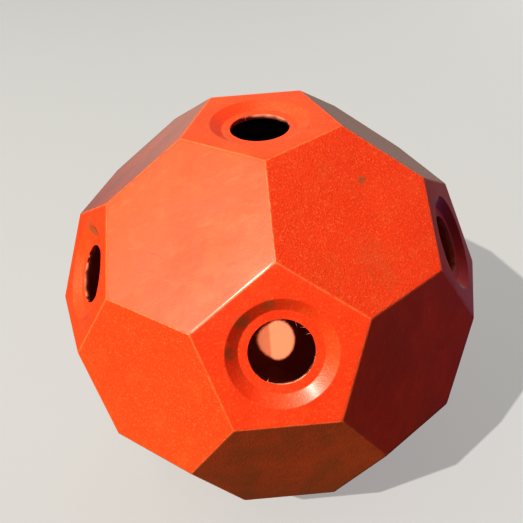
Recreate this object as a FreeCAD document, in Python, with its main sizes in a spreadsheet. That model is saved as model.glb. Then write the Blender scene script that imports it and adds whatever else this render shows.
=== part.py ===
import FreeCAD, Part
import math
import os
import re

import Sketcher

# Hay feeder ball: a hollow, one-piece plastic moulding in the form of a truncated icosahedron.
# Every pentagon carries a round dish with a feed hole in its floor.  The hexagon at the upper
# back carries a screw-in fill hatch, which is a ring bolted into a moulded seat and a cover
# that screws into the ring.
#
# Frame: the ball stands on its bottom pentagon.  The origin is the centre of that pentagon,
# +Z points up through the top pentagon and -Y points to the front, where one pentagon is.
# All lengths are millimetres and all angles are degrees.

SIZES = {
    # ball
    "edge_length": 80.7,
    "shell_wall": 4.5,
    "edge_round": 4.0,
    "inner_round": 3.0,
    # dished feed holes
    "dish_mouth_diameter": 83.5,
    "dish_floor_diameter": 64.5,
    "dish_depth": 6.0,
    "dish_floor_round": 3.0,
    "dish_mouth_round": 4.0,
    "feed_hole_diameter": 50.0,
    # hatch seat and ring
    "hatch_rim": 7.5,
    "seat_round": 1.0,
    "seat_gap": 0.5,
    "ring_thickness": 4.0,
    "ring_lip": 1.2,
    "ring_edge_round": 0.8,
    "gasket_thickness": 1.5,
    "collar_wall": 2.3,
    "collar_lead": 0.4,
    # ring fasteners
    "screw_count": 8,
    "screw_diameter": 4.0,
    "screw_head_diameter": 8.0,
    "screw_length": 20.0,
    "screw_tip_chamfer": 0.5,
    "screw_gap": 0.25,
    "socket_across_flats": 2.5,
    "socket_depth": 1.4,
    "washer_diameter": 9.0,
    "washer_thickness": 0.8,
    "washer_land": 0.8,
    "nut_across_flats": 7.0,
    "nut_hex_height": 3.2,
    "nut_collar_height": 1.8,
    "nut_collar_diameter": 6.2,
    "nut_gap": 0.05,
    # thread between the ring and the cover
    "thread_pitch": 6.0,
    "thread_depth": 1.9,
    "thread_root_width": 3.6,
    "thread_crest_width": 1.8,
    "thread_gap": 0.4,
    "ring_thread_turns": 2.0,
    "cover_thread_turns": 1.5,
    "thread_run_in": 1.0,
    # hatch cover and its seal
    "cover_thickness": 3.0,
    "cover_edge_round": 0.8,
    "cover_gap": 0.4,
    "seal_thickness": 2.0,
    "seal_land": 4.2,
    "skirt_wall": 2.8,
    "skirt_lead": 1.0,
    "grip_wall": 2.8,
    "grip_moat": 4.0,
    "grip_depth": 14.0,
    "grip_floor": 2.6,
    "grip_bar_width": 13.0,
    "grip_bar_drop": 1.0,
    "grip_round": 2.0,
}

# Fixed geometry of a truncated icosahedron: distances from the centre to its faces, as
# multiples of the edge, and the tilts of the face normals from the top face's normal.
PENTAGON_RATIO = math.sqrt((125 + 41 * math.sqrt(5)) / 10) / 2
HEXAGON_RATIO = math.sqrt(3) / 4 * (3 + math.sqrt(5))
HEXAGON_INRADIUS_RATIO = math.sqrt(3) / 2
RING_PENTAGON_TILT = math.degrees(math.atan(2))
TOP_HEXAGON_TILT = math.degrees(math.acos(math.sqrt((5 + 2 * math.sqrt(5)) / 15)))
SIDE_HEXAGON_TILT = RING_PENTAGON_TILT + TOP_HEXAGON_TILT
RING_COUNT = 5

# How far cutting outlines reach past the faces that they cut, in the ball and at a screw's
# countersink, how far a thread's outline reaches into its wall, and the round blank's radius
# as a multiple of the edge.
OVERCUT = 20
COUNTERSINK_OVERCUT = 2
THREAD_BITE = 0.4
BLANK_RATIO = 2.8

DOC = FreeCAD.newDocument("feeder_ball")
X_AXIS = FreeCAD.Vector(1, 0, 0)
Z_AXIS = FreeCAD.Vector(0, 0, 1)


def write_sheet():
    """Put the driving dimensions into the spreadsheet, one named cell each."""
    sheet = DOC.addObject("Spreadsheet::Sheet", "dims")
    for row, (name, value) in enumerate(SIZES.items(), start=1):
        sheet.set(f"A{row}", name)
        sheet.set(f"B{row}", str(value))
        sheet.setAlias(f"B{row}", name)
    DOC.recompute()
    return sheet


SHEET = write_sheet()
SIZE_NAMES = {name: f"dims.{name}" for name in SIZES}


def expression(text):
    """Give every size name in the text the sheet's prefix."""
    return re.sub(r"[a-z_]+", lambda word: SIZE_NAMES.get(word[0], word[0]), text)


def value_of(text):
    """The number that an expression has now."""
    number = SHEET.evalExpression(expression(text))
    return float(getattr(number, "Value", number))


def bind(thing, name, text):
    """Bind a property to an expression of the sheet's sizes."""
    thing.setExpression(name, expression(text))


# Distances that several pieces share, as expressions of the sheet's sizes.
PENTAGON_FACE = f"( edge_length * {PENTAGON_RATIO:.9f} )"
HEXAGON_FACE = f"( edge_length * {HEXAGON_RATIO:.9f} )"
DISH_WALL_SHIFT = (
    "( shell_wall * tan( atan( dish_depth * 2"
    " / ( dish_mouth_diameter - dish_floor_diameter ) ) / 2 ) )"
)
SEAT_RADIUS = f"( edge_length * {HEXAGON_INRADIUS_RATIO:.9f} - hatch_rim )"
SEAT_DEPTH = "( ring_thickness + gasket_thickness )"
RING_RADIUS = f"( {SEAT_RADIUS} - seat_gap )"
SCREW_CIRCLE = f"( {RING_RADIUS} - ring_lip - screw_head_diameter / 2 )"
HATCH_HOLE_RADIUS = f"( {SCREW_CIRCLE} - washer_diameter / 2 - washer_land )"
STEP_OUTER_RADIUS = f"( {HATCH_HOLE_RADIUS} - seat_gap )"
STEP_RADIUS = f"( {STEP_OUTER_RADIUS} - collar_wall )"
STEP_DEPTH = "( cover_thickness + seal_thickness )"
THREAD_RADIUS = f"( {STEP_RADIUS} - seal_land )"
THREAD_START = (
    f"( {STEP_DEPTH} + thread_run_in + thread_root_width / 2"
    " + ring_thread_turns * thread_pitch )"
)
COLLAR_DEPTH = f"( {THREAD_START} + thread_root_width / 2 + collar_lead )"
SKIRT_DEPTH = f"( {THREAD_START} + skirt_lead )"
COVER_RADIUS = f"( {STEP_RADIUS} - cover_gap )"
SKIRT_RADIUS = f"( {THREAD_RADIUS} - thread_depth - thread_gap )"
GRIP_OUTER_RADIUS = f"( {SKIRT_RADIUS} - skirt_wall - grip_moat )"
GRIP_RADIUS = f"( {GRIP_OUTER_RADIUS} - grip_wall )"
SCREW_HOLE_RADIUS = "( screw_diameter / 2 + screw_gap )"
CONE_DEPTH = "( screw_head_diameter / 2 - screw_diameter / 2 )"
WASHER_TOP = f"( {SEAT_DEPTH} + shell_wall )"
NUT_TOP = f"( {WASHER_TOP} + washer_thickness )"


def origin_feature(body, role):
    """One of a body's own origin planes or axes."""
    return next(item for item in body.Origin.OriginFeatures if item.Role == role)


def new_body(name):
    """A body that may hold several separate solids."""
    body = DOC.addObject("PartDesign::Body", name)
    body.Label = name
    body.AllowCompound = True
    return body


def new_sketch(body, name, plane, tilt=0.0, shift=None):
    """A sketch on an origin plane, turned by tilt and moved by shift, both in the plane's frame."""
    sketch = body.newObject("Sketcher::SketchObject", name)
    sketch.AttachmentSupport = [(origin_feature(body, plane), "")]
    sketch.MapMode = "FlatFace"
    offset = FreeCAD.Vector(0, 0, 0)
    shift = shift or {}
    for axis, text in shift.items():
        setattr(offset, axis, value_of(text))
    sketch.AttachmentOffset = FreeCAD.Placement(offset, FreeCAD.Rotation(Z_AXIS, tilt))
    for axis, text in shift.items():
        bind(sketch, f"AttachmentOffset.Base.{axis}", text)
    return sketch


def set_coordinate(sketch, line, direction, text):
    """Tie one coordinate of a line's start point to an expression."""
    value = value_of(text)
    if abs(value) < 1e-9:
        axis = -2 if direction == "DistanceX" else -1
        sketch.addConstraint(Sketcher.Constraint("PointOnObject", line, 1, axis))
        return
    index = sketch.addConstraint(Sketcher.Constraint(direction, line, 1, value))
    bind(sketch, f"Constraints[{index}]", text)


def draw_outline(sketch, corners, rounds=None):
    """A closed outline through corners given as expressions, some of them rounded."""
    points = [FreeCAD.Vector(value_of(x), value_of(y), 0) for x, y in corners]
    count = len(points)
    first = sketch.GeometryCount
    for index, point in enumerate(points):
        sketch.addGeometry(Part.LineSegment(point, points[(index + 1) % count]), False)
    for index in range(count):
        following = first + (index + 1) % count
        sketch.addConstraint(Sketcher.Constraint("Coincident", first + index, 2, following, 1))
    for index, (x, y) in enumerate(corners):
        set_coordinate(sketch, first + index, "DistanceX", x)
        set_coordinate(sketch, first + index, "DistanceY", y)
    for index, text in (rounds or {}).items():
        round_corner(sketch, first + (index - 1) % count, first + index, points[index], text)


def round_corner(sketch, line_in, line_out, corner, text):
    """Round the corner between two lines of an outline with a bound radius."""
    radius = value_of(text)
    ends = sketch.Geometry[line_in], sketch.Geometry[line_out]
    near_in = corner + (ends[0].StartPoint - corner).normalize() * radius
    near_out = corner + (ends[1].EndPoint - corner).normalize() * radius
    arc = sketch.GeometryCount
    sketch.fillet(line_in, line_out, near_in, near_out, radius, 1, True)
    index = sketch.addConstraint(Sketcher.Constraint("Radius", arc, radius))
    bind(sketch, f"Constraints[{index}]", text)


def draw_circle(sketch, radius):
    """A circle about the sketch's origin."""
    index = sketch.addGeometry(Part.Circle(FreeCAD.Vector(0, 0, 0), Z_AXIS, value_of(radius)), False)
    sketch.addConstraint(Sketcher.Constraint("Coincident", index, 3, -1, 1))
    bound = sketch.addConstraint(Sketcher.Constraint("Radius", index, value_of(radius)))
    bind(sketch, f"Constraints[{bound}]", radius)


def draw_hexagon(sketch, across_flats):
    """A regular hexagon about the sketch's origin, with flats left and right."""
    corners = []
    for index in range(6):
        angle = math.radians(30 + 60 * index)
        x = f"( {across_flats} * {math.cos(angle) / math.sqrt(3):.9f} )"
        y = f"( {across_flats} * {math.sin(angle) / math.sqrt(3):.9f} )"
        corners.append((x, y))
    draw_outline(sketch, corners)


def revolve(body, kind, sketch, name):
    """A full turn of a sketch about its own vertical axis, added or cut."""
    feature = body.newObject(f"PartDesign::{kind}", name)
    feature.Profile = sketch
    feature.ReferenceAxis = (sketch, ["V_Axis"])
    feature.Angle = 360
    return feature


def extrude(body, kind, sketch, name, length, reverse=False):
    """A straight pad or pocket of a sketch."""
    feature = body.newObject(f"PartDesign::{kind}", name)
    feature.Profile = sketch
    feature.Reversed = reverse
    bind(feature, "Length", length)
    return feature


def repeat(body, originals, axis, count, name):
    """Copy features round an axis, evenly spaced over a full turn."""
    pattern = body.newObject("PartDesign::PolarPattern", name)
    pattern.Originals = originals
    pattern.Axis = axis
    pattern.Angle = 360
    pattern.Occurrences = int(value_of(str(count)))
    if count in SIZES:
        bind(pattern, "Occurrences", count)
    body.Tip = pattern
    return pattern


def round_edges(body, name, radius, wanted=None):
    """Round the body's edges that the wanted test picks, or all of them."""
    DOC.recompute()
    base = body.Tip
    feature = body.newObject("PartDesign::Fillet", name)
    if wanted is None:
        feature.Base = (base, [""])
        feature.UseAllEdges = True
    else:
        edges = enumerate(base.Shape.Edges, start=1)
        feature.Base = (base, [f"Edge{index}" for index, edge in edges if wanted(edge)])
    bind(feature, "Radius", radius)
    body.Tip = feature
    return feature


def is_ring(radius):
    """A test for closed edges as long as a circle of the given radius."""
    length = 2 * math.pi * value_of(radius)
    return lambda edge: edge.isClosed() and abs(edge.Length - length) < 0.01


# ---------------------------------------------------------------------------------- the ball


def make_facets(body, inset):
    """The truncated icosahedron whose faces lie inset inside the outer ones.

    Every face's normal lies in one of five upright planes, a fifth of a turn apart, and each of
    those planes cuts the faces in the same eight-sided outline.  So the ball is a round blank
    from which everything outside that outline is cut away, five times round.
    """
    blank_outline = new_sketch(body, "blank_outline", "XY_Plane")
    draw_circle(blank_outline, f"edge_length * {BLANK_RATIO}")
    blank = extrude(body, "Pad", blank_outline, "blank", f"2 * ( {PENTAGON_FACE} - {inset} )")
    blank.SideType = "Symmetric"
    sides = [
        (0.0, PENTAGON_FACE),
        (RING_PENTAGON_TILT, PENTAGON_FACE),
        (SIDE_HEXAGON_TILT, HEXAGON_FACE),
        (180.0 - TOP_HEXAGON_TILT, HEXAGON_FACE),
    ]
    sides += [(180.0 + tilt, distance) for tilt, distance in sides]
    outline = new_sketch(body, "facet_outline", "YZ_Plane")
    draw_sides(outline, [(tilt, f"( {distance} - {inset} )") for tilt, distance in sides])
    draw_circle(outline, f"edge_length * 2 * {BLANK_RATIO}")
    DOC.recompute()
    facets = body.newObject("PartDesign::Pocket", "facets")
    facets.Profile = outline
    facets.Type = "ThroughAll"
    facets.SideType = "Symmetric"
    repeat(body, [facets], (origin_feature(body, "Z_Axis"), [""]), RING_COUNT, "all_facets")


def draw_sides(sketch, sides):
    """A closed outline of straight sides, each given by its normal's tilt and its distance."""
    normals = [(-math.sin(math.radians(tilt)), math.cos(math.radians(tilt))) for tilt, _ in sides]
    distances = [value_of(text) for _, text in sides]
    count = len(sides)
    corners = []
    for index in range(count):
        before = index - 1
        (ax, ay), (bx, by) = normals[before], normals[index]
        area = ax * by - ay * bx
        x = (distances[before] * by - distances[index] * ay) / area
        y = (ax * distances[index] - bx * distances[before]) / area
        corners.append(FreeCAD.Vector(x, y, 0))
    for index in range(count):
        sketch.addGeometry(Part.LineSegment(corners[index], corners[(index + 1) % count]), False)
    for index in range(count):
        sketch.addConstraint(Sketcher.Constraint("Coincident", index, 2, (index + 1) % count, 1))
    for index, (tilt, text) in enumerate(sides):
        angle = math.radians((tilt + 180) % 360)
        sketch.addConstraint(Sketcher.Constraint("Angle", index, angle))
        gap = sketch.addConstraint(Sketcher.Constraint("Distance", -1, 1, index, distances[index]))
        bind(sketch, f"Constraints[{gap}]", text)


def cut_on_pentagons(body, name, corners, rounds=None):
    """Cut one turned outline into all twelve pentagons."""
    around = (origin_feature(body, "Z_Axis"), [""])
    places = {
        "top": (0.0, 1),
        "upper": (RING_PENTAGON_TILT, RING_COUNT),
        "lower": (RING_PENTAGON_TILT - 180.0, RING_COUNT),
        "bottom": (180.0, 1),
    }
    for place, (tilt, count) in places.items():
        sketch = new_sketch(body, f"{place}_{name}_outline", "YZ_Plane", tilt)
        draw_outline(sketch, corners, rounds)
        cut = revolve(body, "Groove", sketch, f"{place}_{name}")
        body.Tip = cut
        if count > 1:
            repeat(body, [cut], around, count, f"{place}_{name}_ring")


def dish_outline(inset, shift):
    """Half of a dish's section, as deep and as wide as its wall side or its hollow side."""
    floor = f"{PENTAGON_FACE} - {inset} - dish_depth"
    floor_radius = f"dish_floor_diameter / 2 + {shift}"
    slope = "( ( dish_mouth_diameter - dish_floor_diameter ) / 2 / dish_depth )"
    rim_radius = f"dish_mouth_diameter / 2 + {shift} + {OVERCUT} * {slope}"
    rim = f"{PENTAGON_FACE} - {inset} + {OVERCUT}"
    return [("0", floor), (floor_radius, floor), (rim_radius, rim), ("0", rim)]


def hatch_cut(body, name, radius, top, bottom, rounds=None):
    """Cut a round pocket between two depths under the hatch's hexagon."""
    sketch = new_sketch(body, f"{name}_outline", "YZ_Plane", -TOP_HEXAGON_TILT)
    low = f"{HEXAGON_FACE} - {bottom}"
    high = f"{HEXAGON_FACE} - {top}"
    draw_outline(sketch, [("0", low), (radius, low), (radius, high), ("0", high)], rounds)
    body.Tip = revolve(body, "Groove", sketch, name)


def make_cavity():
    """The hollow inside the ball, one wall inside the outer surface."""
    body = new_body("cavity")
    make_facets(body, "shell_wall")
    round_edges(body, "inner_edges", "inner_round")
    cut_on_pentagons(
        body, "dish_back", dish_outline("shell_wall", DISH_WALL_SHIFT),
        {1: "( dish_floor_round + shell_wall )"},
    )
    hatch_cut(
        body, "seat_back", f"( {SEAT_RADIUS} + shell_wall )",
        f"-{OVERCUT}", f"( {SEAT_DEPTH} + shell_wall )", {1: "( seat_round + shell_wall )"},
    )
    return body


def make_ball_shell():
    """The moulded ball: faceted outside, hollow inside, dished and pierced at each pentagon."""
    cavity = make_cavity()
    body = new_body("ball_shell")
    make_facets(body, "0")
    round_edges(body, "outer_edges", "edge_round")
    cut_on_pentagons(body, "dish", dish_outline("0", "0"), {1: "dish_floor_round"})
    round_edges(body, "dish_mouths", "dish_mouth_round", is_ring("dish_mouth_diameter / 2"))
    hatch_cut(body, "seat", SEAT_RADIUS, f"-{OVERCUT}", SEAT_DEPTH, {1: "seat_round"})
    DOC.recompute()
    hollow = body.newObject("PartDesign::Boolean", "hollow")
    hollow.Type = "Cut"
    hollow.setObjects([cavity])
    body.Tip = hollow
    hole_bottom = f"{PENTAGON_FACE} - {OVERCUT}"
    hole_radius = "feed_hole_diameter / 2"
    cut_on_pentagons(
        body, "feed_hole",
        [("0", hole_bottom), (hole_radius, hole_bottom), (hole_radius, PENTAGON_FACE),
         ("0", PENTAGON_FACE)],
    )
    hatch_cut(body, "hatch_hole", HATCH_HOLE_RADIUS, "0", f"{2 * OVERCUT}")
    cut_shell_screw_holes(body)
    bind(body, "Placement.Base.z", PENTAGON_FACE)
    return body


def cut_shell_screw_holes(body):
    """The ring's screw holes through the floor of the seat."""
    lean = math.radians(-TOP_HEXAGON_TILT)
    shift = {
        "x": f"{SCREW_CIRCLE} * {math.cos(lean):.9f}",
        "y": f"{SCREW_CIRCLE} * {math.sin(lean):.9f}",
    }
    sketch = new_sketch(body, "screw_hole_outline", "YZ_Plane", -TOP_HEXAGON_TILT, shift)
    low = f"{HEXAGON_FACE} - {OVERCUT}"
    draw_outline(
        sketch,
        [("0", low), (SCREW_HOLE_RADIUS, low), (SCREW_HOLE_RADIUS, HEXAGON_FACE),
         ("0", HEXAGON_FACE)],
    )
    hole = revolve(body, "Groove", sketch, "screw_hole")
    body.Tip = hole
    hatch_axis = (DOC.getObject("seat_outline"), ["V_Axis"])
    repeat(body, [hole], hatch_axis, "screw_count", "screw_holes")


# ----------------------------------------------------------------------------------- the hatch
#
# Each piece of the hatch is drawn about its own Z axis, with Z = 0 in the plane of the hexagon
# and +Z pointing out of the ball, and is then placed on the hexagon.


def place_on_hatch(body):
    """Stand a hatch piece on the upper back hexagon."""
    lean = math.radians(TOP_HEXAGON_TILT)
    body.Placement = FreeCAD.Placement(
        FreeCAD.Vector(0, 0, 0), FreeCAD.Rotation(X_AXIS, -TOP_HEXAGON_TILT)
    )
    bind(body, "Placement.Base.y", f"{HEXAGON_FACE} * {math.sin(lean):.9f}")
    bind(body, "Placement.Base.z", f"{PENTAGON_FACE} + {HEXAGON_FACE} * {math.cos(lean):.9f}")


def section_sketch(body, name, shift=None):
    """A sketch for half of a round piece's section: across is the radius, up is +Z."""
    return new_sketch(body, name, "XZ_Plane", 0.0, shift)


def add_thread(body, name, radius, outward, start, turns):
    """A right-hand coarse thread on a wall of the given radius, from a start height upwards."""
    sketch = section_sketch(body, f"{name}_outline")
    way = "+" if outward else "-"
    root = f"{radius} {'-' if outward else '+'} {THREAD_BITE}"
    crest = f"{radius} {way} thread_depth"
    slope = f"( {THREAD_BITE} * ( thread_root_width - thread_crest_width ) / 2 / thread_depth )"
    root_half = f"( thread_root_width / 2 + {slope} )"
    corners = [
        (root, f"{start} - {root_half}"),
        (crest, f"{start} - thread_crest_width / 2"),
        (crest, f"{start} + thread_crest_width / 2"),
        (root, f"{start} + {root_half}"),
    ]
    draw_outline(sketch, corners)
    thread = body.newObject("PartDesign::AdditiveHelix", name)
    thread.Profile = sketch
    thread.ReferenceAxis = (sketch, ["V_Axis"])
    thread.Mode = "pitch-turns-angle"
    bind(thread, "Pitch", "thread_pitch")
    bind(thread, "Turns", turns)
    body.Tip = thread


def make_hatch_ring():
    """The ring: a flush flange on the seat, and a collar with a coarse thread inside."""
    body = new_body("hatch_ring")
    sketch = section_sketch(body, "ring_outline")
    collar_radius = f"{THREAD_RADIUS} + collar_wall"
    step_bottom = f"-( {STEP_DEPTH} + collar_wall )"
    draw_outline(
        sketch,
        [
            (RING_RADIUS, "0"),
            (RING_RADIUS, "-ring_thickness"),
            (STEP_OUTER_RADIUS, "-ring_thickness"),
            (STEP_OUTER_RADIUS, step_bottom),
            (collar_radius, step_bottom),
            (collar_radius, f"-{COLLAR_DEPTH}"),
            (THREAD_RADIUS, f"-{COLLAR_DEPTH}"),
            (THREAD_RADIUS, f"-{STEP_DEPTH}"),
            (STEP_RADIUS, f"-{STEP_DEPTH}"),
            (STEP_RADIUS, "0"),
        ],
        {0: "ring_edge_round", 3: "ring_edge_round", 9: "ring_edge_round"},
    )
    body.Tip = revolve(body, "Revolution", sketch, "ring")
    DOC.recompute()
    start = f"-{THREAD_START}"
    add_thread(body, "ring_thread", THREAD_RADIUS, False, start, "ring_thread_turns")
    holes = section_sketch(body, "ring_hole_outline", {"x": SCREW_CIRCLE})
    draw_outline(
        holes,
        [
            ("0", f"-{OVERCUT}"),
            (SCREW_HOLE_RADIUS, f"-{OVERCUT}"),
            (SCREW_HOLE_RADIUS, f"-( {CONE_DEPTH} - screw_gap )"),
            ("screw_head_diameter / 2", "0"),
            (f"screw_head_diameter / 2 + {COUNTERSINK_OVERCUT}", f"{COUNTERSINK_OVERCUT}"),
            ("0", f"{COUNTERSINK_OVERCUT}"),
        ],
    )
    hole = revolve(body, "Groove", holes, "ring_hole")
    body.Tip = hole
    around = (origin_feature(body, "Z_Axis"), [""])
    repeat(body, [hole], around, "screw_count", "ring_holes")
    place_on_hatch(body)
    return body


def make_ring_gasket():
    """The flat rubber gasket between the ring's flange and the floor of the seat."""
    body = new_body("ring_gasket")
    sketch = section_sketch(body, "gasket_outline")
    top = "-ring_thickness"
    bottom = f"-{SEAT_DEPTH}"
    outer = f"{RING_RADIUS} - seat_gap"
    draw_outline(
        sketch,
        [(HATCH_HOLE_RADIUS, bottom), (outer, bottom), (outer, top), (HATCH_HOLE_RADIUS, top)],
    )
    body.Tip = revolve(body, "Revolution", sketch, "gasket")
    hole_sketch = section_sketch(body, "gasket_hole_outline", {"x": SCREW_CIRCLE})
    draw_outline(
        hole_sketch,
        [("0", f"-{OVERCUT}"), (SCREW_HOLE_RADIUS, f"-{OVERCUT}"), (SCREW_HOLE_RADIUS, "0"),
         ("0", "0")],
    )
    hole = revolve(body, "Groove", hole_sketch, "gasket_hole")
    body.Tip = hole
    around = (origin_feature(body, "Z_Axis"), [""])
    repeat(body, [hole], around, "screw_count", "gasket_holes")
    place_on_hatch(body)
    return body


def make_ring_screws():
    """Countersunk screws with a hexagon socket, heads flush with the ring."""
    body = new_body("ring_screws")
    shift = {"x": SCREW_CIRCLE}
    sketch = section_sketch(body, "screw_outline", shift)
    shank = "screw_diameter / 2"
    draw_outline(
        sketch,
        [
            ("0", "0"),
            ("0", "-screw_length"),
            (f"{shank} - screw_tip_chamfer", "-screw_length"),
            (shank, "-screw_length + screw_tip_chamfer"),
            (shank, f"-{CONE_DEPTH}"),
            ("screw_head_diameter / 2", "0"),
        ],
    )
    screw = revolve(body, "Revolution", sketch, "screw")
    body.Tip = screw
    DOC.recompute()
    socket_sketch = new_sketch(body, "socket_outline", "XY_Plane", 0.0, shift)
    draw_hexagon(socket_sketch, "socket_across_flats")
    socket = extrude(body, "Pocket", socket_sketch, "socket", "socket_depth")
    body.Tip = socket
    around = (origin_feature(body, "Z_Axis"), [""])
    repeat(body, [screw, socket], around, "screw_count", "screws")
    place_on_hatch(body)
    return body


def make_ring_washers():
    """Plain washers under the nuts, against the inside of the ball's wall."""
    body = new_body("ring_washers")
    sketch = section_sketch(body, "washer_outline", {"x": SCREW_CIRCLE})
    bore = SCREW_HOLE_RADIUS
    rim = "washer_diameter / 2"
    top = f"-{WASHER_TOP}"
    bottom = f"-{NUT_TOP}"
    draw_outline(sketch, [(bore, bottom), (rim, bottom), (rim, top), (bore, top)])
    washer = revolve(body, "Revolution", sketch, "washer")
    body.Tip = washer
    around = (origin_feature(body, "Z_Axis"), [""])
    repeat(body, [washer], around, "screw_count", "washers")
    place_on_hatch(body)
    return body


def make_ring_nuts():
    """Self-locking nuts, each a hexagon with a round nylon collar under it."""
    body = new_body("ring_nuts")
    shift = {"x": SCREW_CIRCLE, "z": f"-{NUT_TOP}"}
    hexagon = new_sketch(body, "nut_outline", "XY_Plane", 0.0, shift)
    draw_hexagon(hexagon, "nut_across_flats")
    nut = extrude(body, "Pad", hexagon, "nut", "nut_hex_height", reverse=True)
    body.Tip = nut
    DOC.recompute()
    collar_sketch = section_sketch(body, "nut_collar_outline", {"x": SCREW_CIRCLE})
    bore = "( screw_diameter / 2 + nut_gap )"
    middle = f"-( {NUT_TOP} + nut_hex_height / 2 )"
    end = f"-( {NUT_TOP} + nut_hex_height + nut_collar_height )"
    rim = "nut_collar_diameter / 2"
    draw_outline(
        collar_sketch,
        [(bore, middle), (bore, end), (rim, end), (rim, middle)],
        {2: "nut_collar_height / 2"},
    )
    collar = revolve(body, "Revolution", collar_sketch, "nut_collar")
    body.Tip = collar
    bore_sketch = section_sketch(body, "nut_bore_outline", {"x": SCREW_CIRCLE})
    draw_outline(
        bore_sketch,
        [("0", f"-{2 * OVERCUT}"), (bore, f"-{2 * OVERCUT}"), (bore, "0"), ("0", "0")],
    )
    hole = revolve(body, "Groove", bore_sketch, "nut_bore")
    body.Tip = hole
    around = (origin_feature(body, "Z_Axis"), [""])
    repeat(body, [nut, collar, hole], around, "screw_count", "nuts")
    place_on_hatch(body)
    return body


def make_cover_seal():
    """The flat rubber seal on the cover's skirt, squeezed between cover and ring."""
    body = new_body("cover_seal")
    sketch = section_sketch(body, "seal_outline")
    inner = f"{SKIRT_RADIUS} + cover_gap"
    top = "-cover_thickness"
    bottom = f"-{STEP_DEPTH}"
    draw_outline(
        sketch,
        [(inner, bottom), (COVER_RADIUS, bottom), (COVER_RADIUS, top), (inner, top)],
    )
    body.Tip = revolve(body, "Revolution", sketch, "seal")
    place_on_hatch(body)
    return body


def make_hatch_cover():
    """The cover: a flush disc with a sunk grip bar and a threaded skirt."""
    body = new_body("hatch_cover")
    sketch = section_sketch(body, "cover_outline")
    skirt_inner = f"{SKIRT_RADIUS} - skirt_wall"
    grip_bottom = "-( grip_depth + grip_floor )"
    draw_outline(
        sketch,
        [
            ("0", "-grip_depth"),
            ("0", grip_bottom),
            (GRIP_OUTER_RADIUS, grip_bottom),
            (GRIP_OUTER_RADIUS, "-cover_thickness"),
            (skirt_inner, "-cover_thickness"),
            (skirt_inner, f"-{SKIRT_DEPTH}"),
            (SKIRT_RADIUS, f"-{SKIRT_DEPTH}"),
            (SKIRT_RADIUS, "-cover_thickness"),
            (COVER_RADIUS, "-cover_thickness"),
            (COVER_RADIUS, "0"),
            (GRIP_RADIUS, "0"),
            (GRIP_RADIUS, "-grip_depth"),
        ],
        {2: "grip_round", 9: "cover_edge_round", 10: "cover_edge_round", 11: "grip_round"},
    )
    body.Tip = revolve(body, "Revolution", sketch, "cover")
    DOC.recompute()
    half_pitch_up = f"( -{THREAD_START} + thread_pitch / 2 )"
    add_thread(body, "cover_thread", SKIRT_RADIUS, True, half_pitch_up, "cover_thread_turns")
    bar_sketch = new_sketch(body, "bar_outline", "XY_Plane", 0.0, {"z": "-grip_depth"})
    reach = f"{GRIP_RADIUS} + grip_wall / 2"
    half = "grip_bar_width / 2"
    draw_outline(
        bar_sketch,
        [(f"-( {reach} )", f"-{half}"), (reach, f"-{half}"), (reach, half), (f"-( {reach} )", half)],
    )
    bar = extrude(body, "Pad", bar_sketch, "grip_bar", "grip_depth - grip_bar_drop")
    body.Tip = bar
    round_edges(body, "bar_edges", "grip_round", is_bar_top_edge)
    place_on_hatch(body)
    return body


def is_bar_top_edge(edge):
    """Whether an edge is one of the grip bar's two long upper edges."""
    box = edge.BoundBox
    is_at_top = abs(box.ZMin + value_of("grip_bar_drop")) < 0.01 and box.ZLength < 0.01
    return is_at_top and box.YLength < 0.01


# ---------------------------------------------------------------------------------- the pieces

PIECES = [
    make_ball_shell(),
    make_hatch_ring(),
    make_ring_gasket(),
    make_ring_screws(),
    make_ring_washers(),
    make_ring_nuts(),
    make_cover_seal(),
    make_hatch_cover(),
]


def check_document():
    """Stop if any object failed to rebuild or any piece's shape is unsound."""
    DOC.recompute()
    for item in DOC.Objects:
        if "Invalid" in item.State or "Error" in item.State:
            raise RuntimeError(f"{item.Name} did not rebuild: {item.State}")
    for piece in PIECES:
        if piece.Shape.isNull() or not piece.Shape.isValid():
            raise RuntimeError(f"{piece.Label} has no sound shape")


def write_pieces():
    """Write each piece's solids to its own STEP file."""
    os.makedirs("parts", exist_ok=True)
    for piece in PIECES:
        piece.Shape.exportStep(f"parts/{piece.Label}.step")
        print(f"{piece.Label}: {len(piece.Shape.Solids)} solid(s), {piece.Shape.Volume:.0f} mm3")


check_document()
write_pieces()
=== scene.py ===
import math
import random

import bmesh
import bpy
import numpy as np
from mathutils import Matrix, Vector, noise


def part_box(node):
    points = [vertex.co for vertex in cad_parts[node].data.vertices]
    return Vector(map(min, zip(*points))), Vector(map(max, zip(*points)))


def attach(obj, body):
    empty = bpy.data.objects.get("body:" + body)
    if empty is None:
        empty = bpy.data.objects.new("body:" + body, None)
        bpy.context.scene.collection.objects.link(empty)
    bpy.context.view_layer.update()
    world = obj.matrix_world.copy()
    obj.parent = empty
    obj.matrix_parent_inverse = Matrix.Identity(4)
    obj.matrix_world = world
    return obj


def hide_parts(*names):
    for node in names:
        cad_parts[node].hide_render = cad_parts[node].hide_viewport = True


# A hay feeder ball: a hollow plastic truncated icosahedron with a dished feed hole in each
# pentagon and a screw-in fill hatch in the upper back hexagon.  Lengths are metres.

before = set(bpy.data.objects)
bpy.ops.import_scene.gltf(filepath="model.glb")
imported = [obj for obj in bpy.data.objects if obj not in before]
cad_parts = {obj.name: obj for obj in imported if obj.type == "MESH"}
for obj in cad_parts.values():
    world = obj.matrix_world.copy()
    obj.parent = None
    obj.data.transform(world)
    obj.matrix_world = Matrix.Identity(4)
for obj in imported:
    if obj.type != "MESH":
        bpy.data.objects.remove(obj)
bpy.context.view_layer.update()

# ------------------------------------------------------------------------- driving dimensions

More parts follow.
